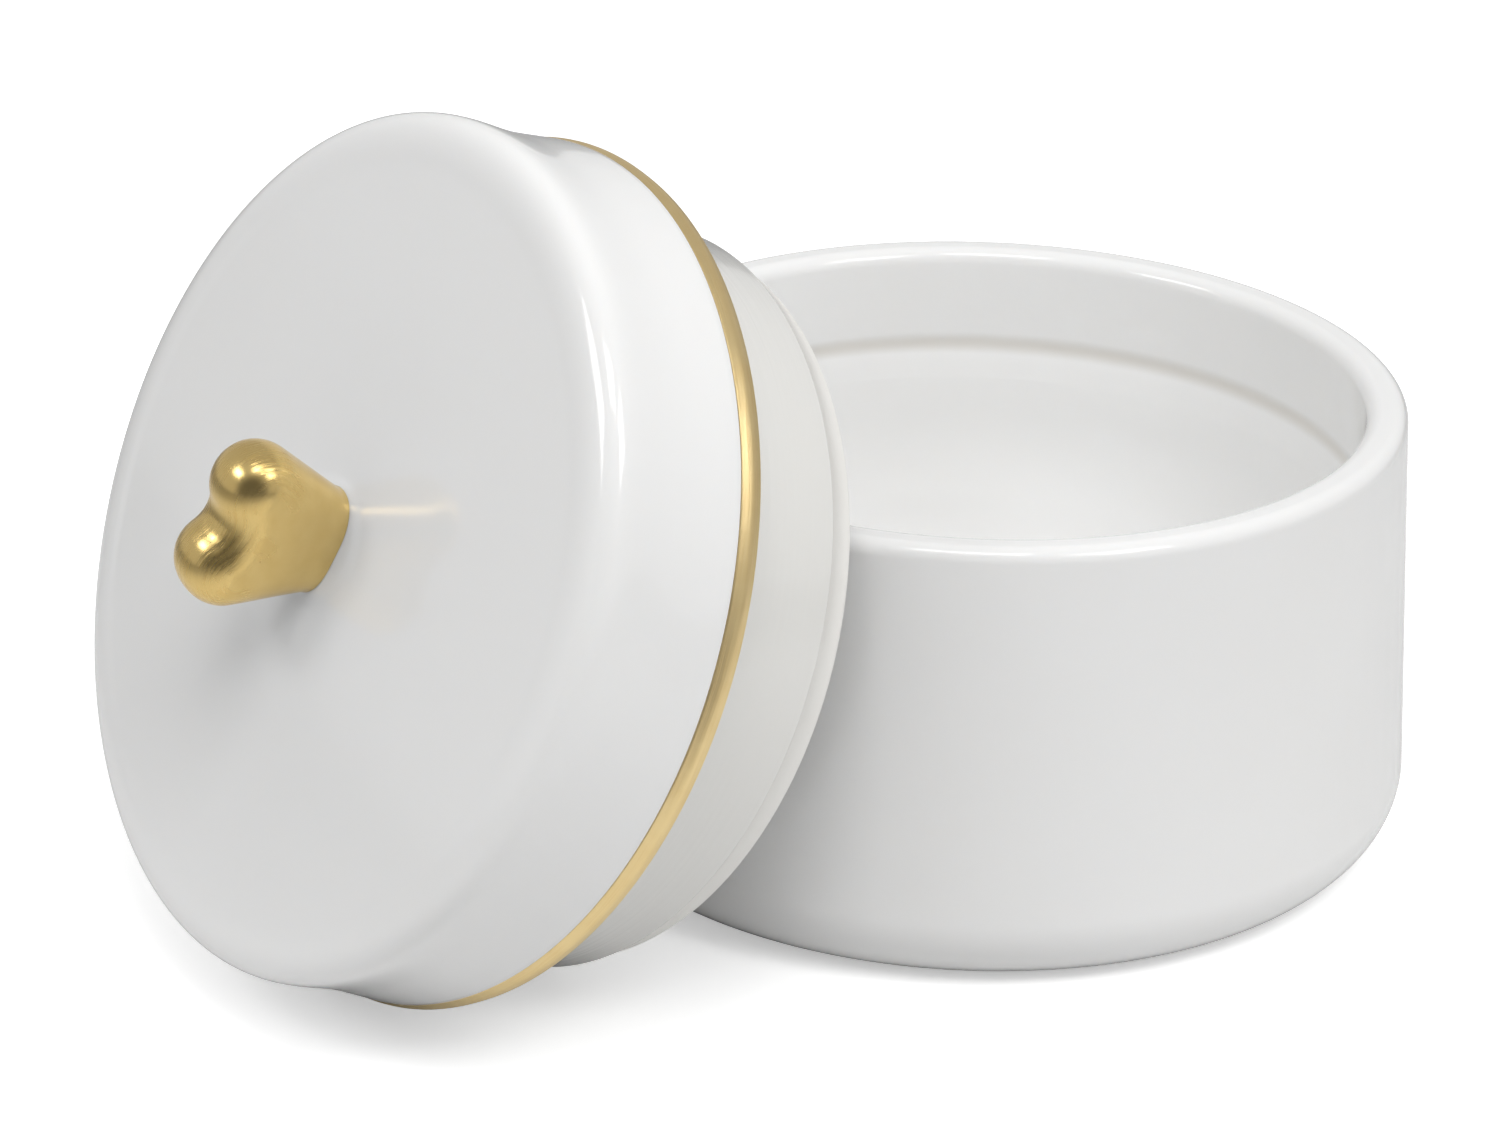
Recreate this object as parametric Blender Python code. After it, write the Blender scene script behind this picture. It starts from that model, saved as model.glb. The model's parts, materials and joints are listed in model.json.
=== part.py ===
"""Round porcelain trinket box: a base bowl and a plug lid with a gold rim band and a heart knob.

Metres, +Z up. The origin is the centre of the base's flat underside, on the table.
The lid is off: it lies on its side at -X, on its gold band and its collar, with its mouth
towards the base. The lid's own axis lies in the XZ plane.
"""
import math

import bmesh
import bpy
import numpy as np
from mathutils import Euler, Vector

MM = 0.001

# Driving dimensions
BASE_RIM_RADIUS = 50.0 * MM
BASE_HEIGHT = 54.4 * MM
BASE_FLARE = 2.2 * MM            # the wall is this much wider at the table than at the rim
BASE_EDGE_RADIUS = 9.0 * MM      # rounding between wall and underside
RIM_THICKNESS = 4.9 * MM
RIM_ROUNDING = 1.5 * MM
COLLAR_RADIUS = 42.85 * MM
COLLAR_GLAZED = 15.6 * MM        # glazed length of the collar below the seat
COLLAR_LENGTH = 19.6 * MM        # whole collar, with its unglazed tapered end
BAND_RADIUS = 49.6 * MM
BAND_HEIGHT = 2.7 * MM
LID_HEIGHT = 21.8 * MM           # seat plane to the middle of the top
KNOB_HEIGHT = 15.8 * MM
LID_DISTANCE = 69.5 * MM         # base axis to the lid's seat centre, lid lying down
HOVER = 32.0 * MM                # seat gap once the lid has been carried over the base

# Base
GALLERY_DEPTH = 12.0 * MM        # shallow step in the bore below the rim
GALLERY_STEP = 0.7 * MM
GALLERY_FILLET = 1.2 * MM
BORE_RADIUS = BASE_RIM_RADIUS - RIM_THICKNESS
LOWER_BORE_RADIUS = BORE_RADIUS - GALLERY_STEP
PLUG_DEPTH = COLLAR_LENGTH + 1.4 * MM
FLOOR_THICKNESS = 6.0 * MM
FLOOR_FLAT_RADIUS = 20.0 * MM

# Lid
COLLAR_TAPER = 1.4 * MM
COLLAR_WALL = 4.2 * MM
COLLAR_END_ROUNDING = 0.8 * MM
SHOULDER_RADIAL = 6.6 * MM
SHOULDER_DROP = 4.2 * MM
SHOULDER_RADIUS = 48.9 * MM
DOME_RADIUS = 23.0 * MM          # the top falls gently past here
DOME_DROP = 0.3 * MM
SHOULDER_TOP_DROP = 1.0 * MM     # the top's whole dome: from its middle down to the shoulder
WAIST_RADIUS = 48.7 * MM
WAIST_HEIGHT = 10.5 * MM
LID_PLATE = 4.8 * MM
INNER_CORNER = 9.0 * MM
KNOB_SEAT_RADIUS = 6.2 * MM
BAND_THICKNESS = 1.1 * MM
BAND_CROWN = 0.3 * MM
BAND_LIFT = 0.1 * MM             # the porcelain, not the band, takes the seat's load
SCREW_HOLE_RADIUS = 2.1 * MM

# Knob and its fastening
GAP = 0.3 * MM
KNOB_TURN = math.radians(-11.5)  # the heart's plane against the plane the lid leans in
KNOB_FOOT_HALF_WIDTH = 5.85 * MM
KNOB_FOOT_HALF_THICKNESS = 4.05 * MM
KNOB_FOOT_BEVEL = 0.6 * MM
LOBE_RADIUS = 5.0 * MM
LOBE_HALF_THICKNESS = 5.15 * MM
LOBE_SPREAD = 4.7 * MM           # a lobe's centre to the heart's middle
LOBE_HEIGHT = KNOB_HEIGHT - LOBE_RADIUS
NOTCH_RADIUS = 3.3 * MM          # fillet between the lobes
KNOB_CORE = (0.0, 0.0, 7.1 * MM)  # every ray from here meets the heart's surface once
PAD_RADIUS = 3.0 * MM
PAD_THICKNESS = 0.8 * MM
PAD_RECESS_DEPTH = PAD_THICKNESS + GAP
FIBRE_RADIUS = 6.5 * MM
FIBRE_THICKNESS = 0.8 * MM
WASHER_RADIUS = 5.0 * MM
WASHER_THICKNESS = 0.8 * MM
WASHER_BORE = 1.8 * MM
SCREW_RADIUS = 1.5 * MM
SCREW_HEAD_RADIUS = 3.0 * MM
SCREW_HEAD_HEIGHT = 2.0 * MM
SCREW_HEAD_DOME = 1.2 * MM
SCREW_GRIP = 7.5 * MM            # length of screw inside the knob
SCREW_TIP_CHAMFER = 0.5 * MM
SCREW_BORE = SCREW_RADIUS + GAP
SLOT_LENGTH = 3 * SCREW_HEAD_RADIUS
SLOT_WIDTH = 0.8 * MM
SLOT_DEPTH = 0.9 * MM

# Facets
TURN_STEPS = 64
SMALL_STEPS = 32
ARC_STEP = 18.0                  # degrees of a profile's arc in one facet, at most
KNOB_SUBDIVISIONS = 4
RAY_HALVINGS = 24
MERGE = 0.00001
SMOOTH_ANGLE = math.radians(35)


def clear_scene():
    for item in list(bpy.data.objects):
        bpy.data.objects.remove(item, do_unlink=True)


def material(name, color, roughness, metallic=0.0, coat=0.0):
    finish = bpy.data.materials.new(name)
    finish.use_nodes = True
    shader = finish.node_tree.nodes["Principled BSDF"]
    shader.inputs["Base Color"].default_value = (*color, 1.0)
    shader.inputs["Roughness"].default_value = roughness
    shader.inputs["Metallic"].default_value = metallic
    shader.inputs["Coat Weight"].default_value = coat
    finish.diffuse_color = (*color, 1.0)
    return finish


def add_empty(name, location, rotation=(0.0, 0.0, 0.0), parent=None):
    empty = bpy.data.objects.new(name, None)
    empty.empty_display_size = 0.01
    empty.location = location
    empty.rotation_euler = Euler(rotation)
    empty.parent = parent
    bpy.context.collection.objects.link(empty)
    return empty


def add_object(name, mesh, finish, parent=None, location=(0.0, 0.0, 0.0)):
    mesh.materials.append(finish)
    item = bpy.data.objects.new(name, mesh)
    item.parent = parent
    item.location = location
    bpy.context.collection.objects.link(item)
    return item


def arc(center, radii, start, end):
    """Points of an ellipse's arc in the profile plane, angles in degrees, both ends included."""
    points = []
    count = math.ceil(abs(end - start) / ARC_STEP)
    for index in range(count + 1):
        angle = math.radians(start + (end - start) * index / count)
        points.append((center[0] + radii[0] * math.cos(angle), center[1] + radii[1] * math.sin(angle)))
    return points


def turned(name, profile, finish, closed, steps=TURN_STEPS, parent=None, location=(0.0, 0.0, 0.0)):
    """A piece turned about its own Z. The profile (radius, height) runs down its outer side."""
    mesh = bpy.data.meshes.new(name)
    count = len(profile)
    edges = [(index, index + 1) for index in range(count - 1)]
    if closed:
        edges.append((count - 1, 0))
    mesh.from_pydata([(radius, 0.0, height) for radius, height in profile], edges, [])
    item = add_object(name, mesh, finish, parent, location)
    screw = item.modifiers.new("turn", "SCREW")
    screw.axis = "Z"
    screw.steps = steps
    screw.render_steps = steps
    screw.use_merge_vertices = True
    screw.merge_threshold = MERGE
    screw.use_smooth_shade = True
    return item


def cutter_cylinder(name, radius, bottom, top, parent=None, location=(0.0, 0.0, 0.0)):
    """A hidden cylinder for a Boolean, from height bottom to height top on its own Z."""
    mesh = bpy.data.meshes.new(name)
    shape = bmesh.new()
    bmesh.ops.create_cone(shape, cap_ends=True, segments=SMALL_STEPS, radius1=radius, radius2=radius,
                          depth=top - bottom)
    bmesh.ops.translate(shape, verts=shape.verts, vec=(0.0, 0.0, (top + bottom) / 2))
    shape.to_mesh(mesh)
    shape.free()
    return hide_cutter(name, mesh, parent, location)


def cutter_block(name, size, center, parent=None, location=(0.0, 0.0, 0.0)):
    mesh = bpy.data.meshes.new(name)
    shape = bmesh.new()
    bmesh.ops.create_cube(shape, size=1.0)
    bmesh.ops.scale(shape, verts=shape.verts, vec=size)
    bmesh.ops.translate(shape, verts=shape.verts, vec=center)
    shape.to_mesh(mesh)
    shape.free()
    return hide_cutter(name, mesh, parent, location)


def hide_cutter(name, mesh, parent, location):
    cutter = bpy.data.objects.new(name, mesh)
    cutter.parent = parent
    cutter.location = location
    cutter.hide_render = True
    cutter.display_type = "WIRE"
    bpy.context.collection.objects.link(cutter)
    return cutter


def cut(item, cutter):
    boolean = item.modifiers.new(cutter.name, "BOOLEAN")
    boolean.operation = "DIFFERENCE"
    boolean.solver = "EXACT"
    boolean.object = cutter


def base_profile():
    """From the floor's middle up the bowl, over the rim, down the wall and in under the base."""
    plug_height = BASE_HEIGHT - PLUG_DEPTH
    points = [(0.0, FLOOR_THICKNESS)]
    points += arc((FLOOR_FLAT_RADIUS, plug_height),
                  (LOWER_BORE_RADIUS - FLOOR_FLAT_RADIUS, plug_height - FLOOR_THICKNESS), -90, 0)
    gallery = BASE_HEIGHT - GALLERY_DEPTH
    points += arc((LOWER_BORE_RADIUS - GALLERY_FILLET / 2, gallery - GALLERY_FILLET),
                  (GALLERY_FILLET / 2, GALLERY_FILLET / 2), 0, 60)
    points.append((BORE_RADIUS, gallery + GALLERY_FILLET / 2))
    rim = BASE_HEIGHT - RIM_ROUNDING
    points += arc((BORE_RADIUS + RIM_ROUNDING, rim), (RIM_ROUNDING, RIM_ROUNDING), 180, 90)
    points += arc((BASE_RIM_RADIUS - RIM_ROUNDING, rim), (RIM_ROUNDING, RIM_ROUNDING), 90, 0)
    wall_foot = BASE_RIM_RADIUS + BASE_FLARE
    points += arc((wall_foot - BASE_EDGE_RADIUS, BASE_EDGE_RADIUS),
                  (BASE_EDGE_RADIUS, BASE_EDGE_RADIUS), 0, -90)
    points.append((0.0, 0.0))
    return points


def lid_profile():
    """From the screw hole out over the top, down skirt and collar, and back up inside."""
    shoulder = LID_HEIGHT - SHOULDER_TOP_DROP - SHOULDER_DROP
    rebate = BAND_RADIUS - BAND_CROWN - BAND_THICKNESS
    band_top = BAND_LIFT + BAND_HEIGHT + GAP
    points = [(SCREW_HOLE_RADIUS, LID_HEIGHT), (KNOB_SEAT_RADIUS, LID_HEIGHT)]
    flat = SHOULDER_RADIUS - SHOULDER_RADIAL
    points.append((DOME_RADIUS, LID_HEIGHT - DOME_DROP))
    points += arc((flat, shoulder), (SHOULDER_RADIAL, SHOULDER_DROP), 90, 0)
    points.append((WAIST_RADIUS, WAIST_HEIGHT))
    points += [(BAND_RADIUS - BAND_CROWN, band_top), (rebate - GAP, band_top), (rebate - GAP, 0.0)]
    points += [(COLLAR_RADIUS, 0.0), (COLLAR_RADIUS, -COLLAR_GLAZED)]
    end_radius = COLLAR_RADIUS - COLLAR_TAPER
    points += arc((end_radius - COLLAR_END_ROUNDING, COLLAR_END_ROUNDING - COLLAR_LENGTH),
                  (COLLAR_END_ROUNDING, COLLAR_END_ROUNDING), 0, -90)
    inner = COLLAR_RADIUS - COLLAR_WALL
    under = LID_HEIGHT - LID_PLATE
    points.append((inner, -COLLAR_LENGTH))
    points += arc((inner - INNER_CORNER, under - INNER_CORNER), (INNER_CORNER, INNER_CORNER), 0, 90)
    points.append((SCREW_HOLE_RADIUS, under))
    return points


def band_profile():
    """A hoop with a crowned outer face."""
    inner = BAND_RADIUS - BAND_CROWN - BAND_THICKNESS
    half = BAND_HEIGHT / 2
    middle = BAND_LIFT + half
    points = [(inner, middle + half)]
    points += arc((BAND_RADIUS - BAND_CROWN, middle), (BAND_CROWN, half), 90, -90)
    points.append((inner, middle - half))
    return points


def lying_tilt():
    """The lean at which the band and the collar's glazed corner both touch the table."""
    return min(math.atan2(height + COLLAR_GLAZED, radius - COLLAR_RADIUS)
               for radius, height in band_profile())


def washer_profile(outer, bore, bottom, thickness):
    return [(bore, bottom + thickness), (outer, bottom + thickness), (outer, bottom), (bore, bottom)]


def screw_profile(head_bottom, head_top, tip):
    """From the tip down the shank, out over the head's seat and across its dome."""
    points = [(0.0, tip), (SCREW_RADIUS - SCREW_TIP_CHAMFER, tip), (SCREW_RADIUS, tip - SCREW_TIP_CHAMFER)]
    points += [(SCREW_RADIUS, head_top), (SCREW_HEAD_RADIUS, head_top)]
    points += arc((0.0, head_bottom + SCREW_HEAD_DOME), (SCREW_HEAD_RADIUS, SCREW_HEAD_DOME), 0, -90)
    return points


def heart_depth(x, z):
    """How deep points of the heart's plane lie inside its outline.

    The outline is a round arc on each lobe, the lines that touch a lobe and the foot's round,
    and a fillet in the notch between the lobes.
    """
    reach = math.hypot(LOBE_SPREAD, LOBE_HEIGHT)
    lean = math.atan2(LOBE_HEIGHT, LOBE_SPREAD) - math.acos((KNOB_FOOT_HALF_WIDTH - LOBE_RADIUS) / reach)
    notch_rise = math.sqrt((LOBE_RADIUS + NOTCH_RADIUS) ** 2 - LOBE_SPREAD ** 2)
    across = np.abs(x) - LOBE_SPREAD
    up = z - LOBE_HEIGHT
    to_side = LOBE_RADIUS - across * math.cos(lean) - up * math.sin(lean)
    to_notch = np.hypot(x, up - notch_rise) - NOTCH_RADIUS
    to_arc = LOBE_RADIUS - np.hypot(across, up)
    direction = np.arctan2(up, across)
    on_arc = (direction >= lean) & (direction <= math.atan2(notch_rise, -LOBE_SPREAD))
    return np.where(on_arc, to_arc, np.minimum(to_side, to_notch))


def inside_heart(points):
    """Whether each point is in the heart: it swells from its outline to a broad front and back."""
    share = np.clip(heart_depth(points[:, 0], points[:, 2]) / LOBE_RADIUS, 0.0, 1.0)
    rise = np.clip(points[:, 2] / LOBE_HEIGHT, 0.0, 1.0)
    rise = rise * rise * (3.0 - 2.0 * rise)
    half_thickness = KNOB_FOOT_HALF_THICKNESS + (LOBE_HALF_THICKNESS - KNOB_FOOT_HALF_THICKNESS) * rise
    return np.abs(points[:, 1]) < half_thickness * np.sqrt(1.0 - (1.0 - share) ** 2)


def heart_mesh():
    """A ball of facets pushed out along its rays to the heart's surface, with a flat foot."""
    shape = bmesh.new()
    bmesh.ops.create_icosphere(shape, subdivisions=KNOB_SUBDIVISIONS, radius=1.0)
    rays = np.array([vertex.co.normalized() for vertex in shape.verts])
    inside = np.zeros(len(rays))
    outside = np.full(len(rays), KNOB_HEIGHT)
    for _ in range(RAY_HALVINGS):
        middle = (inside + outside) / 2
        within = inside_heart(KNOB_CORE + rays * middle[:, None])
        inside = np.where(within, middle, inside)
        outside = np.where(within, outside, middle)
    for vertex, point in zip(shape.verts, KNOB_CORE + rays * inside[:, None]):
        vertex.co = point
    everything = shape.verts[:] + shape.edges[:] + shape.faces[:]
    foot = bmesh.ops.bisect_plane(shape, geom=everything, plane_co=(0.0, 0.0, 0.0),
                                  plane_no=(0.0, 0.0, -1.0), clear_outer=True)
    rim = [edge for edge in foot["geom_cut"] if isinstance(edge, bmesh.types.BMEdge)]
    bmesh.ops.contextual_create(shape, geom=rim)
    bmesh.ops.bevel(shape, geom=rim, offset=KNOB_FOOT_BEVEL, segments=2, profile=0.5,
                    affect="EDGES", clamp_overlap=True)
    bmesh.ops.remove_doubles(shape, verts=shape.verts, dist=MERGE)
    mesh = bpy.data.meshes.new("heart_knob")
    shape.to_mesh(mesh)
    shape.free()
    mesh.shade_smooth()
    mesh.set_sharp_from_angle(angle=SMOOTH_ANGLE)
    return mesh


def carry_pole(lean, lying, level):
    """The point in the XZ plane about which one turn of lean takes the seat's centre from lying
    to level."""
    half_chord = (level - lying) / 2
    return lying + half_chord + Vector((half_chord.y, -half_chord.x)) / math.tan(lean / 2)


def build_base(porcelain):
    turned("box_body", base_profile(), porcelain, closed=False)


def build_lid(carry_axis, seat_center, porcelain, gold):
    turned("lid_shell", lid_profile(), porcelain, closed=True, parent=carry_axis, location=seat_center)
    turned("rim_band", band_profile(), gold, closed=True, parent=carry_axis, location=seat_center)


def build_knob(turn_axis, gold, rubber, fibre, steel):
    knob_foot = LID_HEIGHT + GAP
    knob = add_object("heart_knob", heart_mesh(), gold, turn_axis, (0.0, 0.0, knob_foot))
    recess = cutter_cylinder("pad_recess_cutter", PAD_RADIUS + GAP, -GAP, PAD_RECESS_DEPTH,
                             turn_axis, (0.0, 0.0, knob_foot))
    bore = cutter_cylinder("screw_bore_cutter", SCREW_BORE, 0.0, SCREW_GRIP + 2 * GAP,
                           turn_axis, (0.0, 0.0, knob_foot))
    cut(knob, recess)
    cut(knob, bore)
    turned("knob_pad", washer_profile(PAD_RADIUS, SCREW_BORE, knob_foot, PAD_THICKNESS), rubber,
           closed=True, steps=SMALL_STEPS, parent=turn_axis)
    fibre_bottom = LID_HEIGHT - LID_PLATE - GAP - FIBRE_THICKNESS
    turned("fibre_washer", washer_profile(FIBRE_RADIUS, SCREW_HOLE_RADIUS, fibre_bottom, FIBRE_THICKNESS),
           fibre, closed=True, steps=SMALL_STEPS, parent=turn_axis)
    washer_bottom = fibre_bottom - GAP - WASHER_THICKNESS
    turned("steel_washer", washer_profile(WASHER_RADIUS, WASHER_BORE, washer_bottom, WASHER_THICKNESS),
           steel, closed=True, steps=SMALL_STEPS, parent=turn_axis)
    head_top = washer_bottom - GAP
    head_bottom = head_top - SCREW_HEAD_HEIGHT
    screw = turned("knob_screw", screw_profile(head_bottom, head_top, knob_foot + SCREW_GRIP), steel,
                   closed=False, steps=SMALL_STEPS, parent=turn_axis)
    slot = cutter_block("slot_cutter", (SLOT_LENGTH, SLOT_WIDTH, 2 * SLOT_DEPTH),
                        (0.0, 0.0, head_bottom), turn_axis)
    cut(screw, slot)


def build():
    clear_scene()
    porcelain = material("white_porcelain", (0.86, 0.86, 0.85), 0.12, coat=0.4)
    gold = material("brushed_gold", (0.80, 0.56, 0.20), 0.30, metallic=1.0)
    rubber = material("clear_rubber", (0.75, 0.75, 0.72), 0.45)
    fibre = material("red_fibre", (0.35, 0.10, 0.06), 0.80)
    steel = material("zinc_steel", (0.62, 0.63, 0.65), 0.35, metallic=1.0)

    lean = lying_tilt()
    lying = Vector((-LID_DISTANCE, COLLAR_RADIUS * math.sin(lean) + COLLAR_GLAZED * math.cos(lean)))
    level = Vector((0.0, BASE_HEIGHT + HOVER))
    pole = carry_pole(lean, lying, level)
    carry_axis = add_empty("lid_carry_axis", (pole.x, 0.0, pole.y), (0.0, -lean, 0.0))
    seat_center = (level.x - pole.x, 0.0, level.y - pole.y)
    turn_axis = add_empty("lid_turn_axis", seat_center, (0.0, 0.0, KNOB_TURN), carry_axis)

    build_base(porcelain)
    build_lid(carry_axis, seat_center, porcelain, gold)
    build_knob(turn_axis, gold, rubber, fibre, steel)
    bpy.context.view_layer.update()


build()
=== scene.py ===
"""The look of a round porcelain trinket box whose lid lies beside it, with a gold band and a gold
heart knob.

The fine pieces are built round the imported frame. Lengths are in metres, +Z up. The lid and its
fastening are modelled in the lid's own frame: origin at the centre of its seat, +Z out of its top.
"""

import json
import math

import bmesh
import bpy
import numpy as np
from mathutils import Matrix, Vector


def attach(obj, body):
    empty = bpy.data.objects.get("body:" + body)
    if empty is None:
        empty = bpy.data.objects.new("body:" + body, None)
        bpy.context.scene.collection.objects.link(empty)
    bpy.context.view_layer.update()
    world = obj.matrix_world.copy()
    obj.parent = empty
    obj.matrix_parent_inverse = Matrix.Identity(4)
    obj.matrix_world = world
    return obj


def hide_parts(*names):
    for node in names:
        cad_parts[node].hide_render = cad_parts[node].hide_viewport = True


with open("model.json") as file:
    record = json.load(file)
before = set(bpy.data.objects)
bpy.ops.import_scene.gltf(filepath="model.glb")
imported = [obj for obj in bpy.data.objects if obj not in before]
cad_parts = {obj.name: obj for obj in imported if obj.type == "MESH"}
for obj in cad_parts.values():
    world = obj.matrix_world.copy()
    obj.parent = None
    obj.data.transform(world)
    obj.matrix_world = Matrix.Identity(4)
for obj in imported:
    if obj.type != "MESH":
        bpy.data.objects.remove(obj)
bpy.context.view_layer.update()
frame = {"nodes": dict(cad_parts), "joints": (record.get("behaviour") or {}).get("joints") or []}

MM = 0.001

# Fineness
TURN_STEPS = 320
ARC_STEP = 6.0                    # degrees between the points of a profile's arc
LONG_ARC_STEP = 3.0               # the same on wide arcs
FILLET_STEP = 15.0
ROUNDING_STEP = 10.0
EDGE_STEP = 30.0                  # and on edges of a fraction of a millimetre
LID_TOP_POINTS = 60
SPLINE_COUNT = 10                 # points between two knots of a profile's soft curve
KNOB_SUBDIVISIONS = 6
RAY_HALVINGS = 26                 # steps that find where a ray leaves the knob
SAME_POINT = 1e-7                 # points nearer to each other than this count as one

# Base
BASE_FLARE = 2.2 * MM
RIM_THICKNESS = 4.9 * MM
RIM_ROUNDING = 1.8 * MM
BASE_EDGE_RADIUS = 9.0 * MM
GALLERY_DEPTH = 12.4 * MM         # a soft groove in the bore, below the rim
GALLERY_STEP = 0.7 * MM           # the bore is this much narrower below the groove
GROOVE_DEPTH = 0.12 * MM
GROOVE_RISE = 1.6 * MM            # the groove's run up the wall
GROOVE_FALL = 4.5 * MM            # and its run down into the bowl
PLUG_DEPTH = 21.0 * MM            # the bore is straight down to here, and the bowl starts
FLOOR_THICKNESS = 6.0 * MM        # of the bowl, at its middle
FLOOR_FLAT_RADIUS = 20.0 * MM
FOOT_BARE_HEIGHT = 0.15 * MM      # the base's underside is unglazed up to here

# Lid
COLLAR_RADIUS = 42.85 * MM
COLLAR_GLAZED = 15.6 * MM         # from the seat down to where the glaze ends
COLLAR_TAPER = 1.4 * MM           # from there the bare collar narrows by this much to its end
COLLAR_WALL = 4.2 * MM
COLLAR_INNER_RADIUS = COLLAR_RADIUS - COLLAR_WALL
COLLAR_END_ROUNDING = 0.8 * MM
GLAZE_EDGE = 0.12 * MM            # the glaze ends in a bead this proud of the bare clay
SEAT_FILLET = 0.5 * MM
SHOULDER_RADIAL = 6.6 * MM
SHOULDER_DROP = 4.2 * MM
SHOULDER_RADIUS = 48.9 * MM
SHOULDER_START = 86.0             # degrees: where the shoulder's curve takes over from the dome
SHOULDER_FULLNESS = 3.0           # 2 would be a plain ellipse
TOP_DROP = 1.0 * MM               # the dome's fall from the lid's middle to the shoulder
WAIST_RADIUS = 48.7 * MM
WAIST_HEIGHT = 10.5 * MM
LID_PLATE = 4.8 * MM
INNER_CORNER = 9.0 * MM
SCREW_HOLE_RADIUS = 2.1 * MM
REBATE_RADIUS = 47.9 * MM
REBATE_GAP = 0.05 * MM            # between the band and the porcelain over it
REBATE_EDGE = 0.2 * MM
SKIRT_INSET = 0.3 * MM            # the skirt's foot stands this far inside the band's crown
MOUND_RADIUS = 5.9 * MM           # the glaze gathers in a low mound under the knob
MOUND_FOOT = 7.3 * MM
MOUND_HEIGHT = 0.25 * MM

# Band
BAND_INNER = 48.2 * MM
BAND_CROWN = 0.3 * MM
BAND_EDGE = 0.25 * MM
BAND_EDGE_END = 30                # degrees: where the rounded edge goes over into the crown

# Knob
KNOB_FOOT_HALF_WIDTH = 5.85 * MM
KNOB_FOOT_HALF_THICKNESS = 4.05 * MM
KNOB_FOOT_BEVEL = 0.15 * MM
KNOB_FOOT_RING = 0.45 * MM        # straight ring at the foot, under the heart's flare
KNOB_FULLNESS = 2.2               # over 2: the front goes over into its sides without a line
LOBE_RADIUS = 5.0 * MM
LOBE_HALF_THICKNESS = 5.15 * MM
LOBE_SPREAD = 4.7 * MM            # a lobe's centre to the heart's middle
NOTCH_RADIUS = 3.3 * MM           # fillet between the lobes
KNOB_CORE_SHARE = 0.449           # height of the rays' centre over the knob's height
KNOB_TURN = math.radians(-11.5)

# Glaze. A scale, here and below, is how many patches, waves or lines of a texture go to a metre.
GLAZE_WHITE = (0.90, 0.90, 0.895, 1.0)
GROOVE_SHADE_COLOR = (0.66, 0.63, 0.58, 1.0)    # painted shade: the groove's crease in the base's bore, coloured darker and warmer
COLLAR_SHADE_COLOR = (0.77, 0.76, 0.725, 1.0)     # painted shade over the collar: its glaze coloured darker and warmer than the rest
GLAZE_CLOUD_SCALE = 22.0
GLAZE_CLOUD_SHARE = 0.10
GROOVE_SHADE_SHARE = 0.7                  # how much of the painted shade colour shows in the groove
GROOVE_SHADE_REACH = 1.0 * MM             # the painted shade reaches this far outside the bore's radius
COLLAR_SHADE_SHARE = 0.8                # and how much of its painted shade colour shows on the collar
SPECK_COLOR = (0.22, 0.17, 0.12, 1.0)
SPECK_SCALE = 75.0
SPECK_RARITY = 0.86               # share of the texture's cells that have no speck
SPECK_EDGE = 0.026                # a speck's radius in cells
SPECK_CORE = 0.014                # and the radius of its full-coloured middle
SPECK_SHARE = 0.75
GLAZE_WEAR_SCALE = 90.0
GLAZE_ROUGHNESS = 0.06
GLAZE_WEAR = 0.10                 # roughness that wear adds
GLAZE_WAVE_SCALE = 38.0
GLAZE_WAVE_DEPTH = 0.25 * MM
GLAZE_RIPPLE_SCALE = 420.0
GLAZE_RIPPLE_DEPTH = 0.02 * MM
GLAZE_WAVINESS = 0.25
TURNING_SCALE = (9.0, 9.0, 1500.0)        # the collar's turning marks run round its axis
TURNING_DEPTH = 0.05 * MM

# Bare clay
CLAY_LIGHT = (0.90, 0.89, 0.86, 1.0)
CLAY_DARK = (0.84, 0.82, 0.78, 1.0)
CLAY_GRAIN_SCALE = 2600.0
CLAY_GRAIN_DEPTH = 0.05 * MM
CLAY_CLOUD_SCALE = 160.0

# Gold
BAND_GOLD = ((0.88, 0.67, 0.33, 1.0), (0.94, 0.75, 0.40, 1.0))
BAND_ROUGHNESS = 0.36
BAND_LINE_SCALE = (70.0, 70.0, 6500.0)    # the band's brush lines run round it
BAND_LINE_DEPTH = 0.02 * MM
KNOB_GOLD = ((0.78, 0.55, 0.20, 1.0), (0.88, 0.66, 0.28, 1.0))
KNOB_ROUGHNESS = 0.22
KNOB_LINE_SCALE = (260.0, 3000.0, 60.0)   # the knob's run up its sides and over the lobes
KNOB_LINE_DEPTH = 0.03 * MM
KNOB_LINES_FROM = 0.5             # share of the knob's height where its lines fade in
LINE_FADE_BELOW = 2.0 * MM        # the fade starts this far below that height
LINE_FADE_ABOVE = 3.0 * MM        # and ends this far above it
FAINT_LINES = 0.2                 # what is left of the lines under the fade
BRUSH_WANDER = 0.4 * MM           # how far the brush lines stray from straight
WANDER_SCALE = 150.0
PATCH_SCALE = 190.0               # the lines come in patches
GOLD_CLOUD_SCALE = 420.0
LINE_DARKENING = 0.35
LINE_ROUGHNESS = 0.14             # roughness that the lines add
GOLD_SHED = 0.6                   # the gold throws this grey on to the white round it

# Floor
FLOOR_HALF_SIDE = 6.0
FLOOR_TONES = ((0.93, 0.93, 0.93, 1.0), (0.95, 0.95, 0.95, 1.0))
FLOOR_TONE_SCALE = 6.0
FLOOR_ROUGHNESS = 0.6
FLOOR_BOUNCE = 0.78               # what the floor throws back at the object
FLOOR_FADE_START = 0.11           # the table gets darker from here out, seen from the object
FLOOR_FADE_END = 0.36
FLOOR_FAR_BOUNCE = 0.30
FLOOR_GLOW = 0.42                 # the light table's own glow, as the camera sees it

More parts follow.
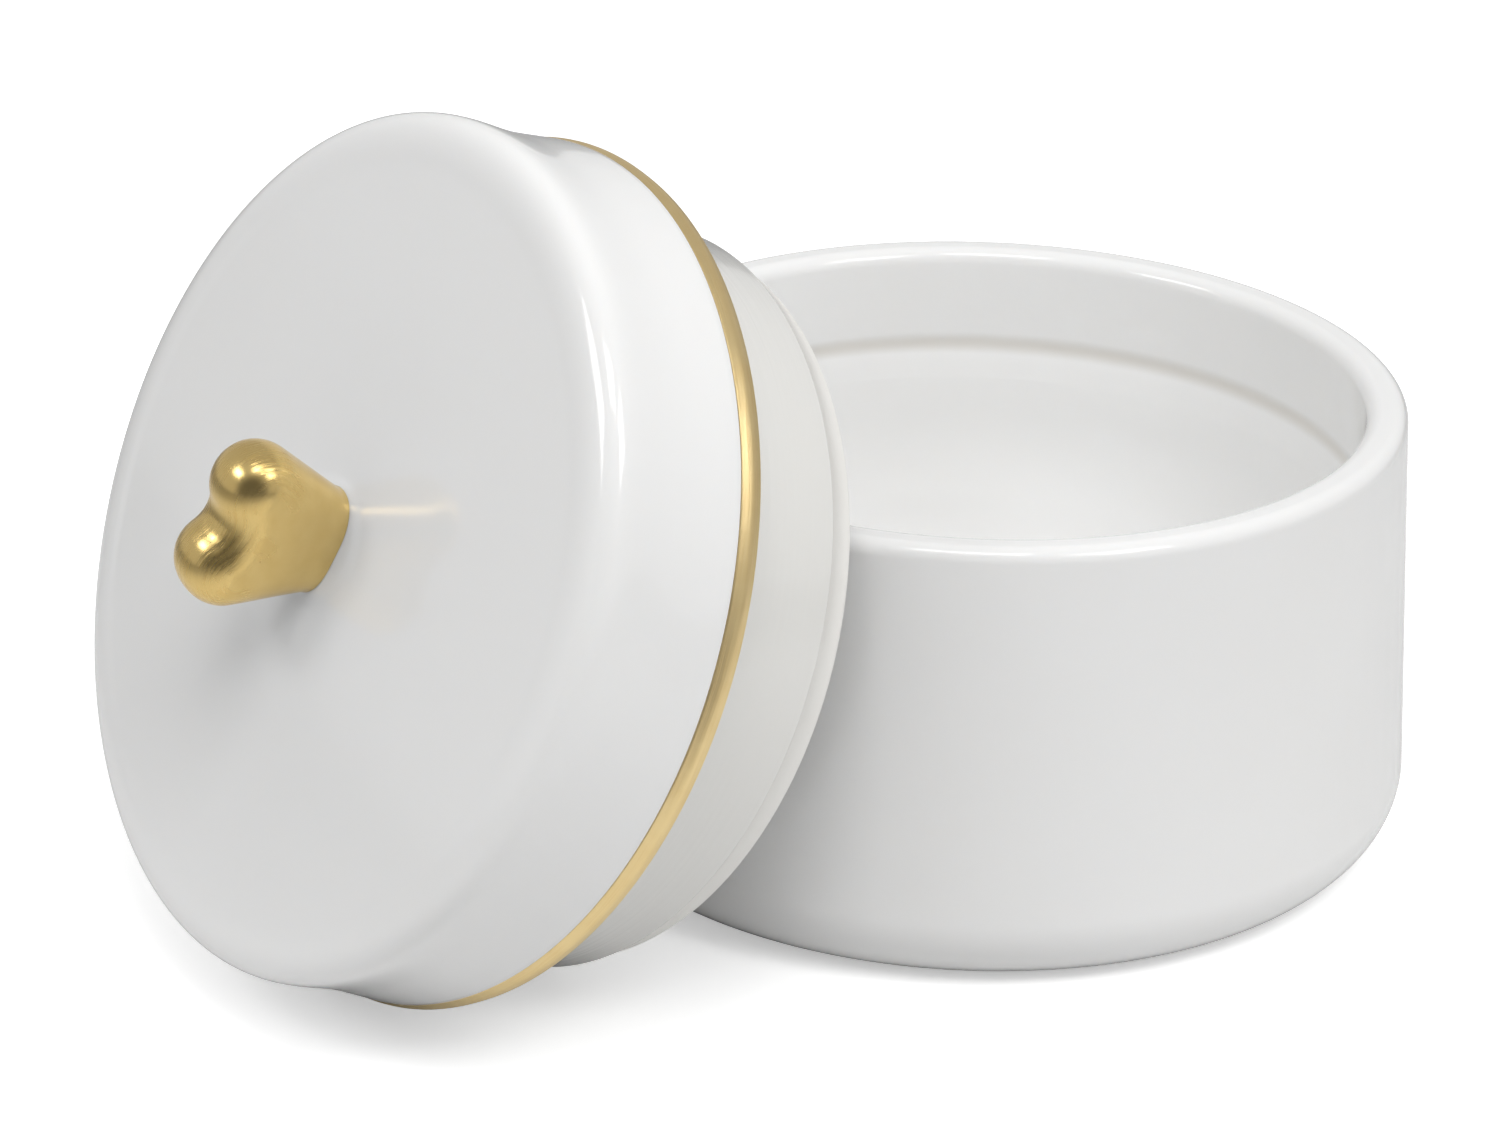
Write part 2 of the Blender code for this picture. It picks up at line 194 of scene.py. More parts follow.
# Camera
CAMERA_ELEVATION = math.radians(23.57)
CAMERA_AZIMUTH = math.radians(33.81)
CAMERA_ROLL = math.radians(1.37)
CAMERA_DISTANCE = 660.17 * MM
CAMERA_ACROSS = -27.28 * MM
CAMERA_TARGET_HEIGHT = 30.6 * MM
CAMERA_LENS = 132.0               # focal length and sensor width, in millimetres
CAMERA_SENSOR = 36.0
CAMERA_CLIP_START = 0.01

# Light
LIGHT_TARGET = (-0.03, 0.0, 0.04)
TENT_SIDE = 0.55                  # strength of the tent's sides
TENT_TOP = 0.48                   # and overhead
TENT_SIDE_HEIGHT = 0.2            # sine of the elevation up to which the sides reach
TENT_TOP_HEIGHT = 0.5             # and from which the top starts
TENT_GAP_DIRECTION = (-0.15, -0.22, 0.96)      # in the camera's frame
TENT_GAP_INNER = math.radians(26)
TENT_GAP_OUTER = math.radians(52)
TENT_GAP_DEPTH = 0.75

# Lamps: name, direction in the camera's frame (right, up, towards the camera), distance from the
# target, size, power in watts, and whether the glaze and the gold mirror it, or it only fills.
LAMPS = (
    ("left_softbox", (-0.69, 0.52, 0.50), 0.9, (0.34, 0.20), 1.05, True),
    ("front_softbox", (0.0, 0.70, 0.72), 0.9, (0.34, 0.20), 1.05, True),
    ("side_softbox", (0.50, 0.50, 0.70), 0.9, (0.30, 0.30), 1.1, True),
    ("front_fill", (0.15, 0.50, 0.86), 1.1, (1.1, 0.35), 3.9, False),
    ("right_fill", (0.95, 0.35, 0.20), 0.9, (0.6, 0.6), 0.55, False),
    ("top_fill", (0.1, 1.0, 0.1), 1.2, (1.2, 1.0), 1.15, False),
)


# Places that come from the frame

def joint(name):
    return next(entry for entry in frame["joints"] if entry["name"] == name)


def lid_frame():
    """The lid's own frame in the world: its seat's centre, with +Z out of the lid's top."""
    turn = joint("lid_turn")
    up = Vector(turn["axis"]).normalized()
    side = Vector((0.0, 1.0, 0.0))
    matrix = Matrix((side.cross(up), side, up)).transposed().to_4x4()
    matrix.translation = Vector(turn["pos_m"])
    return matrix


LID = lid_frame()
KNOB = LID @ Matrix.Rotation(KNOB_TURN, 4, "Z")
WORLD = Matrix.Identity(4)


def node_points(node, place):
    """A CAD node's corners in the frame that place describes, as an array."""
    inverse = place.inverted()
    return np.array([inverse @ vertex.co for vertex in frame["nodes"][node].data.vertices])


def node_extent(node, place):
    """A CAD node's largest radius about place's +Z, and its lowest and highest point along it."""
    points = node_points(node, place)
    radius = np.hypot(points[:, 0], points[:, 1]).max()
    return radius, points[:, 2].min(), points[:, 2].max()


BASE_FOOT_RADIUS, _, BASE_HEIGHT = node_extent("box_body", WORLD)
BAND_RADIUS, BAND_BOTTOM, BAND_TOP = node_extent("rim_band", LID)
_, COLLAR_BOTTOM, LID_HEIGHT = node_extent("lid_shell", LID)
_, KNOB_BOTTOM, KNOB_TOP = node_extent("heart_knob", LID)
KNOB_HEIGHT = KNOB_TOP - KNOB_BOTTOM
LOBE_HEIGHT = KNOB_HEIGHT - LOBE_RADIUS
BASE_RIM_RADIUS = BASE_FOOT_RADIUS - BASE_FLARE
BORE_RADIUS = BASE_RIM_RADIUS - RIM_THICKNESS


# Meshes

def arc(center, radii, start, end, step=ARC_STEP):
    """Points of an ellipse's arc in a profile's plane, angles in degrees, both ends included."""
    count = max(1, math.ceil(abs(end - start) / step))
    points = []
    for index in range(count + 1):
        angle = math.radians(start + (end - start) * index / count)
        points.append((center[0] + radii[0] * math.cos(angle), center[1] + radii[1] * math.sin(angle)))
    return points


def round_arc(center, radius, start, end, step=ARC_STEP):
    """Points of a circle's arc, as above."""
    return arc(center, (radius, radius), start, end, step)


def full_corner(center, radii, start, fullness):
    """Points of a superellipse's corner, from an angle in degrees down to its outermost point."""
    count = math.ceil(2 * start / ARC_STEP)
    points = []
    for index in range(count + 1):
        angle = math.radians(start * (1 - index / count))
        points.append((center[0] + radii[0] * math.cos(angle) ** (2 / fullness),
                       center[1] + radii[1] * math.sin(angle) ** (2 / fullness)))
    return points


def soft_curve(knots):
    """A smooth curve through the knots (Catmull-Rom), both ends included."""
    line = [Vector(knot) for knot in knots]
    line = [2 * line[0] - line[1]] + line + [2 * line[-1] - line[-2]]
    points = []
    for before, start, end, after in zip(line, line[1:], line[2:], line[3:]):
        for index in range(SPLINE_COUNT):
            t = index / SPLINE_COUNT
            point = 0.5 * (2 * start + (end - before) * t
                           + (2 * before - 5 * start + 4 * end - after) * t * t
                           + (3 * start - before - 3 * end + after) * t * t * t)
            points.append(tuple(point))
    points.append(tuple(knots[-1]))
    return points


def piece(name, mesh, place, body, stands_for, finishes):
    """Puts a finished mesh into the scene as a piece that rides on a body of the frame."""
    item = bpy.data.objects.new(name, mesh)
    item.matrix_world = place
    bpy.context.scene.collection.objects.link(item)
    for finish in finishes:
        mesh.materials.append(finish)
    mesh.shade_smooth()
    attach(item, body)
    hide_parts(stands_for)
    return item


def drop_doubles(profile):
    """The profile without points that sit on the one before."""
    kept = [profile[0]]
    for point in profile[1:]:
        if math.dist(point, kept[-1]) > SAME_POINT:
            kept.append(point)
    return kept


def turned_mesh(name, profile, closed, steps=TURN_STEPS):
    """A mesh turned about Z. The profile (radius, height) runs down its outer side.

    closed: whether the profile's last point joins its first, or both lie on the axis.
    """
    profile = drop_doubles(profile)
    shape = bmesh.new()
    angles = [2 * math.pi * index / steps for index in range(steps)]
    rings = []
    for radius, height in profile:
        if radius < SAME_POINT:
            rings.append([shape.verts.new((0.0, 0.0, height))] * steps)
            continue
        ring = [shape.verts.new((radius * math.cos(angle), radius * math.sin(angle), height))
                for angle in angles]
        rings.append(ring)
    pairs = list(zip(rings, rings[1:]))
    if closed:
        pairs.append((rings[-1], rings[0]))
    for upper, lower in pairs:
        for index in range(steps):
            following = (index + 1) % steps
            corners = (upper[index], lower[index], lower[following], upper[following])
            shape.faces.new(list(dict.fromkeys(corners)))
    mesh = bpy.data.meshes.new(name)
    shape.to_mesh(mesh)
    shape.free()
    return mesh


def paint_faces(mesh, slot_index, wanted):
    """Gives a second material to the faces whose centre passes the test."""
    for face in mesh.polygons:
        if wanted(face.center):
            face.material_index = slot_index


# Node shaders

def add(tree, kind, inputs=None, **settings):
    """A shader node with its settings and inputs; an input takes a socket or a plain value."""
    node = tree.nodes.new("ShaderNode" + kind)
    for name, value in settings.items():
        setattr(node, name, value)
    for name, value in (inputs or {}).items():
        socket = node.inputs[name]
        if isinstance(value, bpy.types.NodeSocket):
            tree.links.new(value, socket)
        else:
            socket.default_value = value
    return node


def compute(tree, operation, first, second=0.0, third=0.0):
    return add(tree, "Math", {0: first, 1: second, 2: third}, operation=operation).outputs[0]


def smooth_range(tree, value, low, high):
    """0 below low, 1 above high, and a smooth step between; low may be the larger."""
    inputs = {"Value": value, "From Min": low, "From Max": high}
    return add(tree, "MapRange", inputs, interpolation_type="SMOOTHSTEP").outputs["Result"]


def noise(tree, vector, scale, detail=3.0, roughness=0.5):
    inputs = {"Vector": vector, "Scale": scale, "Detail": detail, "Roughness": roughness}
    return add(tree, "TexNoise", inputs).outputs["Fac"]


def blend(tree, share, first, second):
    """A mix of two colours; share 0 gives the first."""
    node = tree.nodes.new("ShaderNodeMix")
    node.data_type = "RGBA"
    for socket, value in zip((node.inputs[0], node.inputs[6], node.inputs[7]), (share, first, second)):
        if isinstance(value, bpy.types.NodeSocket):
            tree.links.new(value, socket)
        else:
            socket.default_value = value
    return node.outputs[2]


def grey(value):
    """A neutral colour."""
    return (value, value, value, 1.0)


def stretched(tree, point, scale):
    """The point with each of its coordinates times that axis's scale."""
    return add(tree, "VectorMath", {0: point, 1: scale}, operation="MULTIPLY").outputs[0]


def bump(tree, height, distance, strength=1.0, normal=None):
    inputs = {"Height": height, "Distance": distance, "Strength": strength}
    if normal is not None:
        inputs["Normal"] = normal
    return add(tree, "Bump", inputs).outputs["Normal"]


def new_tree(name):
    """An empty material: the material, its node tree and the place of the shaded point."""
    finish = bpy.data.materials.new(name)
    finish.use_nodes = True
    tree = finish.node_tree
    tree.nodes.clear()
    point = add(tree, "TexCoord").outputs["Object"]
    return finish, tree, point


def close_tree(tree, shader):
    output = add(tree, "OutputMaterial")
    tree.links.new(shader, output.inputs["Surface"])


def mask(tree, *conditions):
    """The product of conditions and shares, so 0 wherever one of them is 0."""
    result = conditions[0]
    for condition in conditions[1:]:
        result = compute(tree, "MULTIPLY", result, condition)
    return result


def groove_shade_share(tree, point, height, groove_shade):
    """How much painted shade darkens the ring of a groove's crease: pool is its height, half width and
    outer radius.
    """
    level, half_width, outer_radius = groove_shade
    flat = stretched(tree, point, (1.0, 1.0, 0.0))
    radius = add(tree, "VectorMath", {0: flat}, operation="LENGTH").outputs["Value"]
    away = compute(tree, "ABSOLUTE", compute(tree, "SUBTRACT", height, level))
    painted_shade = compute(tree, "MULTIPLY", smooth_range(tree, away, half_width, 0.0), GROOVE_SHADE_SHARE)
    return mask(tree, painted_shade, compute(tree, "LESS_THAN", radius, outer_radius))


def with_specks(tree, point, color):
    """The colour with a few small dark specks, one at most in each cell of a texture."""
    cells = add(tree, "TexVoronoi", {"Vector": point, "Scale": SPECK_SCALE, "Randomness": 1.0})
    lot = add(tree, "SeparateXYZ", {0: cells.outputs["Color"]}).outputs[0]
    speck = mask(tree, smooth_range(tree, cells.outputs["Distance"], SPECK_EDGE, SPECK_CORE),
                 compute(tree, "GREATER_THAN", lot, SPECK_RARITY))
    return blend(tree, compute(tree, "MULTIPLY", speck, SPECK_SHARE), color, SPECK_COLOR)


def glaze(name, tint_and_shade_color, groove_shade=None, collar=None):
    """Glossy white glaze over porcelain, tinted with the warm colour in random clouds, and with it as
    painted shade in a groove's crease and over the collar.

    groove_shade: height, half width and outer radius of a groove whose crease gets painted shade, or None.
    collar: (lowest, highest) stretch of height with painted shade in the warm colour and turning marks, or
    None.
    """
    finish, tree, point = new_tree(name)
    height = add(tree, "SeparateXYZ", {0: point}).outputs[2]
    cloud = smooth_range(tree, noise(tree, point, GLAZE_CLOUD_SCALE, detail=2.0), 0.30, 0.80)
    warmth_and_shade = compute(tree, "MULTIPLY", cloud, GLAZE_CLOUD_SHARE)
    # painted shade in the groove's crease, from the warm colour
    if groove_shade:
        warmth_and_shade = compute(tree, "MAXIMUM", warmth_and_shade, groove_shade_share(tree, point, height, groove_shade))
    # painted shade over the collar, from the warm colour
    if collar:
        on_collar = mask(tree, compute(tree, "GREATER_THAN", height, collar[0]),
                         compute(tree, "LESS_THAN", height, collar[1]))
        warmth_and_shade = compute(tree, "MAXIMUM", warmth_and_shade, compute(tree, "MULTIPLY", on_collar, COLLAR_SHADE_SHARE))
    color = with_specks(tree, point, blend(tree, warmth_and_shade, GLAZE_WHITE, tint_and_shade_color))

    wear = noise(tree, point, GLAZE_WEAR_SCALE, detail=4.0, roughness=0.6)
    roughness = compute(tree, "MULTIPLY_ADD", wear, GLAZE_WEAR, GLAZE_ROUGHNESS)
    waves = noise(tree, point, GLAZE_WAVE_SCALE, detail=1.0)
    normal = bump(tree, waves, GLAZE_WAVE_DEPTH, GLAZE_WAVINESS)
    ripples = noise(tree, point, GLAZE_RIPPLE_SCALE, detail=2.0)
    normal = bump(tree, ripples, GLAZE_RIPPLE_DEPTH, GLAZE_WAVINESS, normal)
    if collar:
        marks = noise(tree, stretched(tree, point, TURNING_SCALE), 1.0, roughness=0.6)
        normal = bump(tree, mask(tree, marks, on_collar), TURNING_DEPTH, 0.6, normal)
    shader = add(tree, "BsdfPrincipled", {
        "Base Color": color, "Roughness": roughness, "Normal": normal, "IOR": 1.5,
        "Subsurface Weight": 0.12, "Subsurface Radius": (1.0, 0.9, 0.8), "Subsurface Scale": 1.2 * MM,
        "Coat Weight": 0.35, "Coat Roughness": 0.05})
    close_tree(tree, shader.outputs[0])
    return finish


def biscuit(name):
    """Bare fired clay: matt, a little warmer than the glaze, with a fine grain."""
    finish, tree, point = new_tree(name)
    grain = noise(tree, point, CLAY_GRAIN_SCALE, detail=4.0, roughness=0.7)
    color = blend(tree, noise(tree, point, CLAY_CLOUD_SCALE), CLAY_LIGHT, CLAY_DARK)
    roughness = compute(tree, "MULTIPLY_ADD", grain, 0.2, 0.5)
    normal = bump(tree, grain, CLAY_GRAIN_DEPTH, 0.5)
    shader = add(tree, "BsdfPrincipled", {"Base Color": color, "Roughness": roughness, "Normal": normal})
    close_tree(tree, shader.outputs[0])
    return finish


def brushed_gold(name, colors, satin, line_scale, line_depth, lines_from=None):
    """Satin gold with brush lines.

    colors: the two that the gold clouds between. satin: its roughness between the lines.
    line_scale: how fast the lines change along each axis. lines_from: height where they fade in.
    """
    finish, tree, point = new_tree(name)
    wander = add(tree, "TexNoise", {"Vector": point, "Scale": WANDER_SCALE, "Detail": 1.0})
    bent = add(tree, "VectorMath", {0: wander.outputs["Color"], 1: (BRUSH_WANDER,) * 3, 2: point},
               operation="MULTIPLY_ADD").outputs[0]
    lines = noise(tree, stretched(tree, bent, line_scale), 1.0, roughness=0.6)
    patches = smooth_range(tree, noise(tree, point, PATCH_SCALE, detail=2.0), 0.30, 0.60)
    if lines_from is not None:
        height = add(tree, "SeparateXYZ", {0: point}).outputs[2]
        fade = smooth_range(tree, height, lines_from - LINE_FADE_BELOW, lines_from + LINE_FADE_ABOVE)
        fade = compute(tree, "MULTIPLY_ADD", fade, 1.0 - FAINT_LINES, FAINT_LINES)
        patches = compute(tree, "MULTIPLY", patches, fade)
    marks = compute(tree, "MULTIPLY", smooth_range(tree, lines, 0.35, 0.70), patches)
    tone = compute(tree, "SUBTRACT", noise(tree, point, GOLD_CLOUD_SCALE),
                   compute(tree, "MULTIPLY", marks, LINE_DARKENING))
    color = blend(tree, tone, colors[0], colors[1])
    color = blend(tree, add(tree, "LightPath").outputs["Is Diffuse Ray"], color, grey(GOLD_SHED))
    roughness = compute(tree, "MULTIPLY_ADD", marks, LINE_ROUGHNESS, satin)
    normal = bump(tree, marks, line_depth, 0.6)
    shader = add(tree, "BsdfPrincipled", {
        "Base Color": color, "Metallic": 1.0, "Roughness": roughness, "Normal": normal})
    close_tree(tree, shader.outputs[0])
    return finish


def rubber(name):
    """Clear rubber, a little clouded."""
    finish, tree, point = new_tree(name)
    cloud = noise(tree, point, scale=500.0)
    color = blend(tree, cloud, (0.70, 0.70, 0.66, 1.0), (0.80, 0.80, 0.77, 1.0))
    normal = bump(tree, noise(tree, point, scale=3000.0, detail=2.0), 0.02 * MM, 0.4)
    shader = add(tree, "BsdfPrincipled", {"Base Color": color, "Roughness": 0.45, "Normal": normal,
                                          "Transmission Weight": 0.2})
    close_tree(tree, shader.outputs[0])
    return finish


def fibre(name):
    """Matt red vulcanised fibre with fine threads."""
    finish, tree, point = new_tree(name)
    threads = noise(tree, stretched(tree, point, (900.0, 2600.0, 900.0)), 1.0, detail=5.0, roughness=0.7)
    color = blend(tree, threads, (0.22, 0.055, 0.03, 1.0), (0.42, 0.13, 0.07, 1.0))
    normal = bump(tree, threads, 0.05 * MM, 0.6)
    shader = add(tree, "BsdfPrincipled", {"Base Color": color, "Roughness": 0.8, "Normal": normal})
    close_tree(tree, shader.outputs[0])
    return finish


def zinc_steel(name):
    """Bright zinc plate with a fine spangle and faint drawing lines."""
    finish, tree, point = new_tree(name)
    spangle = noise(tree, point, scale=900.0, detail=4.0, roughness=0.6)
    color = blend(tree, spangle, (0.52, 0.54, 0.58, 1.0), (0.72, 0.72, 0.70, 1.0))
    roughness = compute(tree, "MULTIPLY_ADD", spangle, 0.25, 0.22)
    lines = noise(tree, stretched(tree, point, (400.0, 4000.0, 400.0)), 1.0)
    normal = bump(tree, lines, 0.01 * MM, 0.5)
    shader = add(tree, "BsdfPrincipled", {
        "Base Color": color, "Metallic": 1.0, "Roughness": roughness, "Normal": normal})
    close_tree(tree, shader.outputs[0])
    return finish


# The base

def base_profile():
    """From the bowl's middle up to the rim, over it, down the wall and in under the base."""
    plug = BASE_HEIGHT - PLUG_DEPTH
    gallery = BASE_HEIGHT - GALLERY_DEPTH
    lower_bore = BORE_RADIUS - GALLERY_STEP
    points = [(0.0, FLOOR_THICKNESS)]
    points += arc((FLOOR_FLAT_RADIUS, plug), (lower_bore - FLOOR_FLAT_RADIUS, plug - FLOOR_THICKNESS),
                  -90, 0, LONG_ARC_STEP)
    points += soft_curve([(lower_bore, gallery - GROOVE_FALL),
                          (BORE_RADIUS - GALLERY_STEP / 2, gallery - GROOVE_FALL / 2),
                          (BORE_RADIUS + GROOVE_DEPTH, gallery),
                          (BORE_RADIUS, gallery + GROOVE_RISE)])
    rim = BASE_HEIGHT - RIM_ROUNDING
    points += round_arc((BORE_RADIUS + RIM_ROUNDING, rim), RIM_ROUNDING, 180, 90)
    points += round_arc((BASE_RIM_RADIUS - RIM_ROUNDING, rim), RIM_ROUNDING, 90, 0)
    points += round_arc((BASE_FOOT_RADIUS - BASE_EDGE_RADIUS, BASE_EDGE_RADIUS), BASE_EDGE_RADIUS,
                        0, -90, LONG_ARC_STEP)
    points.append((0.0, 0.0))
    return points


def build_base(clay):
    # the groove in the bore gets painted shade, darker and warmer
    groove_shade = (BASE_HEIGHT - GALLERY_DEPTH, GROOVE_RISE, BORE_RADIUS + GROOVE_SHADE_REACH)
    white = glaze("base_glaze", GROOVE_SHADE_COLOR, groove_shade=groove_shade)
    mesh = turned_mesh("porcelain_base", base_profile(), closed=False)
    paint_faces(mesh, 1, lambda center: center.z < FOOT_BARE_HEIGHT)
    return piece("porcelain_base", mesh, WORLD, "base", "box_body", [white, clay])


# The lid

def lid_top(radius):
    """Height of the lid's top at a radius: a shallow dome with the glaze's mound at the knob."""
    dome = LID_HEIGHT - TOP_DROP * (radius / (SHOULDER_RADIUS - SHOULDER_RADIAL)) ** 2
    share = min(1.0, max(0.0, (MOUND_FOOT - radius) / (MOUND_FOOT - MOUND_RADIUS)))
    return dome + MOUND_HEIGHT * share * share * (3 - 2 * share)


def lid_profile():
    """From the screw hole over the top, down skirt and collar, and back up inside."""
    flat = SHOULDER_RADIUS - SHOULDER_RADIAL
    shoulder = LID_HEIGHT - TOP_DROP - SHOULDER_DROP
    over = full_corner((flat, shoulder), (SHOULDER_RADIAL, SHOULDER_DROP),
                       SHOULDER_START, SHOULDER_FULLNESS)
    radii = np.linspace(SCREW_HOLE_RADIUS, over[0][0], LID_TOP_POINTS)[:-1]
    points = [(radius, lid_top(radius)) for radius in radii]
    points += over
    rebate = BAND_TOP + REBATE_GAP
    skirt_foot = (BAND_RADIUS - SKIRT_INSET, rebate + REBATE_EDGE)
    points += soft_curve([over[-1], (WAIST_RADIUS, WAIST_HEIGHT), skirt_foot])
    points += round_arc((skirt_foot[0] - REBATE_EDGE, skirt_foot[1]), REBATE_EDGE, 0, -90, EDGE_STEP)
    points += [(REBATE_RADIUS, rebate), (REBATE_RADIUS, 0.0)]
    points += round_arc((COLLAR_RADIUS + SEAT_FILLET, -SEAT_FILLET), SEAT_FILLET, 90, 180, FILLET_STEP)
    points += round_arc((COLLAR_RADIUS - GLAZE_EDGE, -COLLAR_GLAZED + GLAZE_EDGE), GLAZE_EDGE,
                        0, -90, EDGE_STEP)
    end = COLLAR_BOTTOM + COLLAR_END_ROUNDING
    points += round_arc((COLLAR_RADIUS - COLLAR_TAPER - COLLAR_END_ROUNDING, end), COLLAR_END_ROUNDING,
                        0, -90, ROUNDING_STEP)
    points += round_arc((COLLAR_INNER_RADIUS + COLLAR_END_ROUNDING, end), COLLAR_END_ROUNDING,
                        -90, -180, ROUNDING_STEP)
    under = LID_HEIGHT - LID_PLATE
    points += round_arc((COLLAR_INNER_RADIUS - INNER_CORNER, under - INNER_CORNER), INNER_CORNER, 0, 90)
    points.append((SCREW_HOLE_RADIUS, under))
    return points


def build_lid(clay):
    # the collar gets painted shade: a darker, warmer glaze colour
    white = glaze("lid_glaze", COLLAR_SHADE_COLOR, collar=(-COLLAR_GLAZED, -SEAT_FILLET))
    mesh = turned_mesh("porcelain_lid", lid_profile(), closed=True)
    bare_radius = COLLAR_INNER_RADIUS + COLLAR_END_ROUNDING / 2
    paint_faces(mesh, 1, lambda center: center.z < -COLLAR_GLAZED
                and math.hypot(center.x, center.y) > bare_radius)
    return piece("porcelain_lid", mesh, LID, "lid", "lid_shell", [white, clay])


# The band

def band_profile():
    """A hoop with a crowned outer face and small rounded edges."""
    middle = (BAND_TOP + BAND_BOTTOM) / 2
    side = BAND_RADIUS - BAND_CROWN
    points = [(BAND_INNER, BAND_TOP)]
    points += round_arc((side - BAND_EDGE, BAND_TOP - BAND_EDGE), BAND_EDGE,
                        90, BAND_EDGE_END, FILLET_STEP)
    points += soft_curve([points[-1], (BAND_RADIUS, middle), (points[-1][0], 2 * middle - points[-1][1])])
    points += round_arc((side - BAND_EDGE, BAND_BOTTOM + BAND_EDGE), BAND_EDGE,
                        -BAND_EDGE_END, -90, FILLET_STEP)
    points.append((BAND_INNER, BAND_BOTTOM))
    return points


def build_band():
    gold = brushed_gold("band_gold", BAND_GOLD, BAND_ROUGHNESS, BAND_LINE_SCALE, BAND_LINE_DEPTH)
    mesh = turned_mesh("gold_rim_band", band_profile(), closed=True)
    return piece("gold_rim_band", mesh, LID, "lid", "rim_band", [gold])


# The knob and its fastening

def heart_depth(x, z):
    """How deep points of the heart's plane lie inside its outline.

    The outline is a round arc on each lobe, the lines that touch a lobe and the foot's round,
    and a fillet in the notch between the lobes.
    """
    reach = math.hypot(LOBE_SPREAD, LOBE_HEIGHT)
    lean = math.atan2(LOBE_HEIGHT, LOBE_SPREAD) - math.acos((KNOB_FOOT_HALF_WIDTH - LOBE_RADIUS) / reach)
    notch_rise = math.sqrt((LOBE_RADIUS + NOTCH_RADIUS) ** 2 - LOBE_SPREAD ** 2)
    across = np.abs(x) - LOBE_SPREAD
    up = z - LOBE_HEIGHT
    to_side = LOBE_RADIUS - across * math.cos(lean) - up * math.sin(lean)
    to_notch = np.hypot(x, up - notch_rise) - NOTCH_RADIUS
    to_arc = LOBE_RADIUS - np.hypot(across, up)
    direction = np.arctan2(up, across)
    on_arc = (direction >= lean) & (direction <= math.atan2(notch_rise, -LOBE_SPREAD))
    return np.where(on_arc, to_arc, np.minimum(to_side, to_notch))


def inside_heart(points):
    """Whether each point is in the heart: it swells from its outline to a broad front and back."""
    height = np.maximum(points[:, 2], KNOB_FOOT_RING)
    share = np.clip(heart_depth(points[:, 0], height) / LOBE_RADIUS, 0.0, 1.0)
    rise = np.clip(height / LOBE_HEIGHT, 0.0, 1.0)
    rise = rise * rise * (3.0 - 2.0 * rise)
    half_thickness = KNOB_FOOT_HALF_THICKNESS + (LOBE_HALF_THICKNESS - KNOB_FOOT_HALF_THICKNESS) * rise
    swell = (1.0 - (1.0 - share) ** KNOB_FULLNESS) ** (1.0 / KNOB_FULLNESS)
    return np.abs(points[:, 1]) < half_thickness * swell


def heart_mesh(name):
    """A ball of fine facets pushed out along its rays to the heart's surface, with a flat foot."""
    core = np.array([0.0, 0.0, KNOB_HEIGHT * KNOB_CORE_SHARE])
    shape = bmesh.new()
    bmesh.ops.create_icosphere(shape, subdivisions=KNOB_SUBDIVISIONS, radius=1.0)
    rays = np.array([vertex.co.normalized() for vertex in shape.verts])
    inside = np.zeros(len(rays))
    outside = np.full(len(rays), KNOB_HEIGHT)
    for _ in range(RAY_HALVINGS):
        middle = (inside + outside) / 2
        within = inside_heart(core + rays * middle[:, None])
        inside = np.where(within, middle, inside)
        outside = np.where(within, outside, middle)
    for vertex, point in zip(shape.verts, core + rays * inside[:, None]):
        vertex.co = point
    everything = shape.verts[:] + shape.edges[:] + shape.faces[:]
    foot = bmesh.ops.bisect_plane(shape, geom=everything, plane_co=(0.0, 0.0, 0.0),
                                  plane_no=(0.0, 0.0, -1.0), clear_outer=True)
    rim = [edge for edge in foot["geom_cut"] if isinstance(edge, bmesh.types.BMEdge)]
    bmesh.ops.contextual_create(shape, geom=rim)
    bmesh.ops.bevel(shape, geom=rim, offset=KNOB_FOOT_BEVEL, segments=3, profile=0.5,
                    affect="EDGES", clamp_overlap=True)
    bmesh.ops.translate(shape, verts=shape.verts, vec=(0.0, 0.0, KNOB_BOTTOM))
    mesh = bpy.data.meshes.new(name)
    shape.to_mesh(mesh)
    shape.free()
    return mesh


def build_knob():
    gold = brushed_gold("knob_gold", KNOB_GOLD, KNOB_ROUGHNESS, KNOB_LINE_SCALE, KNOB_LINE_DEPTH,
                        lines_from=KNOB_BOTTOM + KNOB_LINES_FROM * KNOB_HEIGHT)
    return piece("gold_heart_knob", heart_mesh("gold_heart_knob"), KNOB, "knob_set",
                 "heart_knob", [gold])


def build_fastening():
    """The hidden pad, washers and screw keep their CAD shapes and get their finishes."""
    finishes = {"knob_pad": rubber("clear_rubber"), "fibre_washer": fibre("red_fibre"),
                "steel_washer": zinc_steel("washer_zinc"), "knob_screw": zinc_steel("screw_zinc")}
    for node, finish in finishes.items():
        item = frame["nodes"][node]
        item.data.materials.clear()
        item.data.materials.append(finish)


# Stage, light and camera

